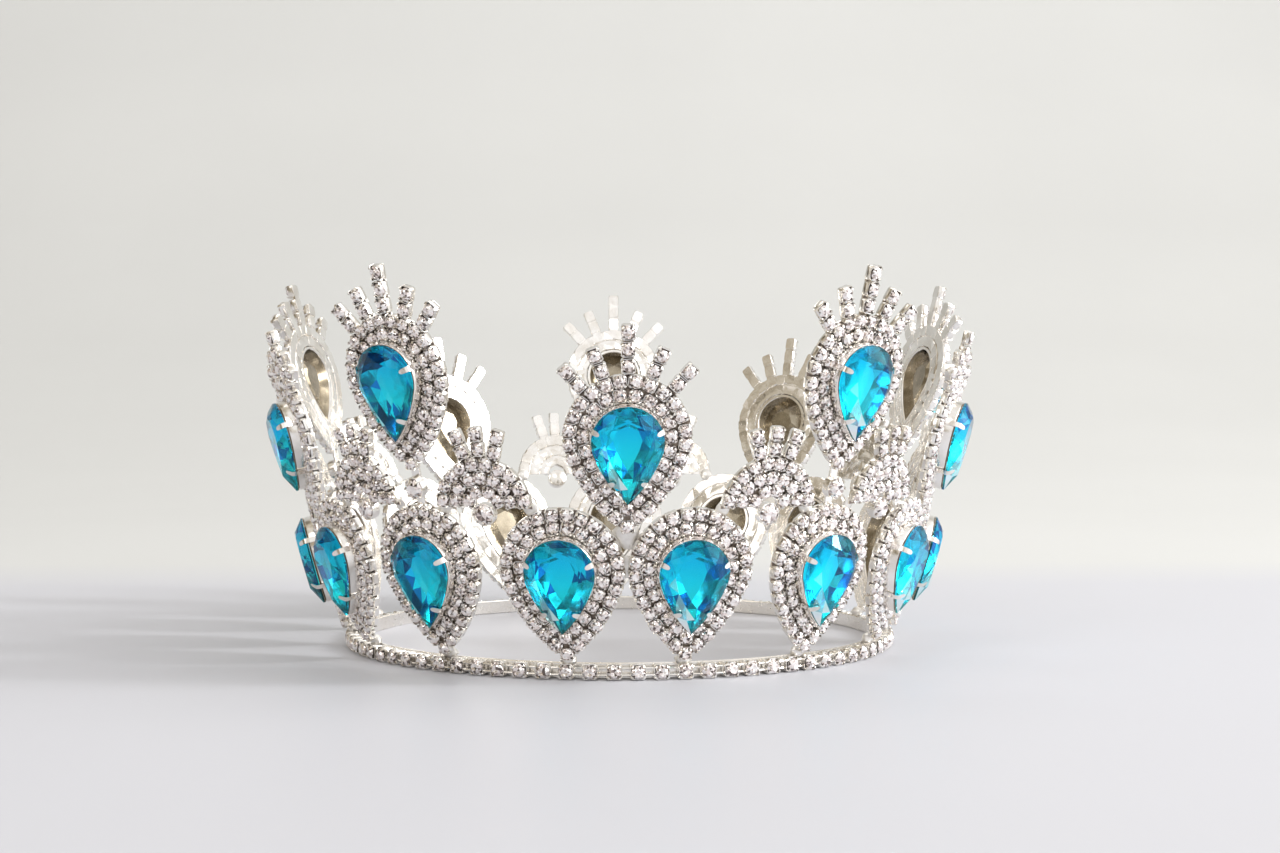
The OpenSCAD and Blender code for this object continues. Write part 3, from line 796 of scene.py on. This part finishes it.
def base_chain():
    """Cups around the band, linked by two wires."""
    metal, stones = Mesh(), Mesh()
    height = CHAIN_DEPTH - CHAIN_CUP_BACK
    cup = cup_shape(CHAIN_CUP, CHAIN_CUP, height, CHAIN_CUP_FLOOR)
    claws = corner_claws(CHAIN_CUP, CHAIN_CUP, height)
    stone = chaton_shape(CHAIN_STONE_R, height + STONE_LIFT, CHAIN_STONE_CROWN)
    middle = CHAIN_LIFT + ROW / 2
    face_out = np.array(Matrix.Rotation(math.pi / 2, 4, "X"))
    for i in range(BASE_CUPS):
        place = turn_z((i + 0.5) * 360 / BASE_CUPS) @ shift(0, -BAND_R, middle) @ face_out
        set_by_hand = place @ tilted(CHAIN_CUP_TURN)
        metal.add(cup, set_by_hand)
        metal.add(claws, set_by_hand)
        stones.add(stone, place @ turn_z(chance.uniform(0, 45)) @ tilted(CHAIN_STONE_TURN))
    radius = BAND_R + CHAIN_DEPTH / 2 + 0.2
    around = [math.radians(60 * k) for k in range(7)]
    for z in (middle - WIRE_OFF, middle + WIRE_OFF):
        wire = [ring(radius + WIRE_R * math.cos(a), z + WIRE_R * math.sin(a), RING_STEPS) for a in around]
        metal.add(lofted(wire, close_low=False, close_high=False))
    metal.piece("chain_cups", (SILVER,), "plated_metal", ["base_chain"], smooth=True)
    stones.piece("chain_stones", (CLEAR,), "clear_stone", ["base_stones"])


# Solder between pairs, at the seats of the low upper medallions, beside the fans and at the tips: half sizes,
# with a fourth number for how uneven the lump is, and then places
PAIR_LUMP, PAIR_LUMP_UP, PAIR_LUMP_OUT = (1.5, 3.0, 0.7), 0.5, 1.3
SEAT_LUMP, SEAT_LUMP_UP, SEAT_LUMP_OUT = (3.2, 3.4, 0.75, 0.45), -1.0, -0.1
FAN_LUMP, FAN_LUMP_IN, FAN_LUMP_UP, FAN_LUMP_OUT, FAN_LUMP_TURN = (2.2, 1.9, 0.75), 1.2, -0.7, -0.2, -60
TIP_LUMP, TIP_LUMP_OUT, TIP_LUMP_UP = (2.2, 1.5, 1.5, 0.25), 1.0, 0.9
LUMP_END = 84


def lump(wide, tall, thick, rough=0.12):
    """Flowed drop of solder."""
    points, rows, n = [], 9, 18
    for i in range(rows):
        b = math.radians(-LUMP_END + 2 * LUMP_END * i / (rows - 1))
        ripple = 1 + chance.uniform(-rough, rough, n)
        ripple = (ripple + np.roll(ripple, 1) + np.roll(ripple, -1)) / 3
        loop = ring(math.cos(b), thick * math.sin(b), n)
        loop[:, 0] *= wide * ripple
        loop[:, 1] *= tall * ripple
        points.append(loop)
    return lofted(points)


def solder():
    """Solder where medallions, fans and the chain meet."""
    pads, feet = Mesh(), Mesh()
    seat_s = LOWER_S + SEAT_RISE
    for m in range(PERIODS):
        pads.add(lump(*PAIR_LUMP), on_cone(m * PERIOD, LOWER_S + PAIR_LUMP_UP) @ shift(0, 0, PAIR_LUMP_OUT))
        pads.add(lump(*SEAT_LUMP), on_cone(m * PERIOD, seat_s + SEAT_LUMP_UP) @ shift(0, 0, SEAT_LUMP_OUT))
    for azimuth in FAN_AZ:
        for side in (-1, 1):
            beside = shift(side * (FAN_R - FAN_LUMP_IN), FAN_LUMP_UP, FAN_LUMP_OUT)
            pads.add(lump(*FAN_LUMP), on_cone(azimuth, FAN_S) @ beside @ turn_z(side * FAN_LUMP_TURN))
    for azimuth in LOWER_AZ:
        at = turn_z(azimuth) @ shift(0, -BAND_R - TIP_LUMP_OUT, BAND_H + TIP_LUMP_UP)
        feet.add(lump(*TIP_LUMP), at)
    pads.piece("solder_drops", (SOLDER,), "solder", ["solder_pads"], smooth=True)
    feet.piece("tip_solder", (SOLDER,), "solder", ["feet"], smooth=True)


# ---- build ------------------------------------------------------------------------------------

lower_gems, upper_gems = Mesh(), Mesh()
for i, azimuth in enumerate(LOWER_AZ):
    medallion(f"lower_{i + 1:02d}", azimuth, LOWER_S, False, {
        "metal": [f"lower_medallion_{i + 1:02d}", "lower_settings"],
        "stones": ["lower_halo_stones"]}, lower_gems)
for i, azimuth in enumerate(UPPER_AZ):
    medallion(f"upper_{i + 1:02d}", azimuth, UPPER_HIGH_S if i % 2 else UPPER_LOW_S, True, {
        "metal": [f"upper_medallion_{i + 1:02d}", "upper_settings", "upper_rays"],
        "stones": ["upper_halo_stones", "ray_stones"]}, upper_gems)
lower_gems.piece("lower_pear_stones", (AQUA, FOIL, LACQUER), "pear_stone", ["lower_gems"])
upper_gems.piece("upper_pear_stones", (AQUA, FOIL, LACQUER), "pear_stone", ["upper_gems"])
for i, azimuth in enumerate(FAN_AZ):
    name = f"fan_{i + 1:02d}"
    fan(name, azimuth, {"metal": [name, "round_cups"], "stones": ["fan_stones", "round_stones"]})
links()
band()
base_chain()
solder()


# ---- stage, lights and camera -----------------------------------------------------------------

# Depth and height along the table and up the wall
TABLE_CURVE = (
    (-2500, 0), (600, 0), (900, 8), (1200, 40), (1500, 110),
    (1800, 260), (2000, 480), (2100, 900), (2100, 2600))
TABLE_SIDES = (-4000, 4000)


def table_and_wall():
    """Pale table that curves up into a pale wall."""
    mesh = bpy.data.meshes.new("table")
    points = [(x * MM, y * MM, z * MM) for y, z in TABLE_CURVE for x in TABLE_SIDES]
    faces = [(2 * i, 2 * i + 1, 2 * i + 3, 2 * i + 2) for i in range(len(TABLE_CURVE) - 1)]
    mesh.from_pydata(points, [], faces)
    mesh.polygons.foreach_set("use_smooth", [True] * len(faces))
    obj = bpy.data.objects.new("table", mesh)
    bpy.context.scene.collection.objects.link(obj)
    mesh.materials.append(table_and_wall_paint())


def soft_light(name, where, target, width, height, power, colour):
    data = bpy.data.lights.new(name, "AREA")
    data.shape, data.size, data.size_y = "RECTANGLE", width, height
    data.energy, data.color = power, colour
    obj = bpy.data.objects.new(name, data)
    obj.location = Vector(where)
    obj.rotation_euler = (Vector(target) - Vector(where)).to_track_quat("-Z", "Y").to_euler()
    bpy.context.scene.collection.objects.link(obj)


# The room: its tones from dark to bright, the size and detail of its patches, and its brighter side
SKY_TONES = (
    (0.20, (0.06, 0.05, 0.04, 1)), (0.34, (0.34, 0.285, 0.19, 1)),
    (0.48, (0.70, 0.64, 0.55, 1)), (0.62, (1.0, 0.99, 0.985, 1)))
SKY_SCALE, SKY_DETAIL, SKY_SIDE = 2.6, 0.5, (0.24, -0.04, 0.10)


def sky():
    """Bright room to the right and in front, with tan and dark patches on the left."""
    world = bpy.data.worlds.new("room")
    bpy.context.scene.world = world
    world.use_nodes = True
    tree = world.node_tree
    back = tree.nodes["Background"]
    where = tree.nodes.new("ShaderNodeTexCoord").outputs["Generated"]
    noise = tree.nodes.new("ShaderNodeTexNoise")
    noise.inputs["Scale"].default_value = SKY_SCALE
    noise.inputs["Detail"].default_value = SKY_DETAIL
    tree.links.new(where, noise.inputs["Vector"])
    side = tree.nodes.new("ShaderNodeVectorMath")
    side.operation = "DOT_PRODUCT"
    side.inputs[1].default_value = SKY_SIDE
    tree.links.new(where, side.inputs[0])
    total = tree.nodes.new("ShaderNodeMath")
    total.operation = "ADD"
    tree.links.new(noise.outputs["Fac"], total.inputs[0])
    tree.links.new(side.outputs["Value"], total.inputs[1])
    ramp = tree.nodes.new("ShaderNodeValToRGB")
    fill_ramp(ramp.color_ramp, SKY_TONES)
    tree.links.new(total.outputs["Value"], ramp.inputs["Fac"])
    tree.links.new(ramp.outputs["Color"], back.inputs["Color"])
    back.inputs["Strength"].default_value = 1.0


EYE, YAW, PITCH = (-11.7, -573.88, 76.73), 1.76, 1.43
SENSOR_WIDTH, LENS = 36.0, 55.2555


def camera():
    """Camera in front, a little lower than the top of the crown, that looks slightly down."""
    data = bpy.data.cameras.new("view")
    data.sensor_width = SENSOR_WIDTH
    data.lens = LENS
    data.clip_start = 0.01
    obj = bpy.data.objects.new("view", data)
    obj.location = Vector(EYE) * MM
    yaw, pitch = math.radians(YAW), math.radians(PITCH)
    obj.rotation_euler = (math.pi / 2 - pitch, 0.0, -yaw)
    bpy.context.scene.collection.objects.link(obj)
    bpy.context.scene.camera = obj


# Where each light is and what it faces, in metres, its width and height, watts and colour
CROWN_MIDDLE = (0, 0, 0.05)
LIGHTS = (
    ("window_right", (1.35, -0.3, 0.7), CROWN_MIDDLE, 1.5, 1.0, 12, (1.0, 0.99, 0.98)),
    ("key_right", (2.3, -0.44, 1.20), CROWN_MIDDLE, 0.36, 0.8, 36, (1.0, 1.0, 1.0)),
    ("sparkle_left", (-0.6, -1.0, 0.9), CROWN_MIDDLE, 0.1, 0.1, 0.8, (1.0, 1.0, 1.0)),
    ("sparkle_front", (0.3, -1.2, 1.0), CROWN_MIDDLE, 0.1, 0.1, 0.8, (1.0, 1.0, 1.0)),
    ("front_fill", (-0.9, -1.1, 0.9), CROWN_MIDDLE, 0.8, 0.8, 2, (0.98, 0.98, 1.0)),
    ("wall_wash", (0.0, 0.6, 1.6), (0, 1.6, 0.3), 1.6, 0.8, 7, (1.0, 1.0, 1.0)),
)

table_and_wall()
for light in LIGHTS:
    soft_light(*light)
sky()
camera()
bpy.context.scene.view_settings.view_transform = "Standard"
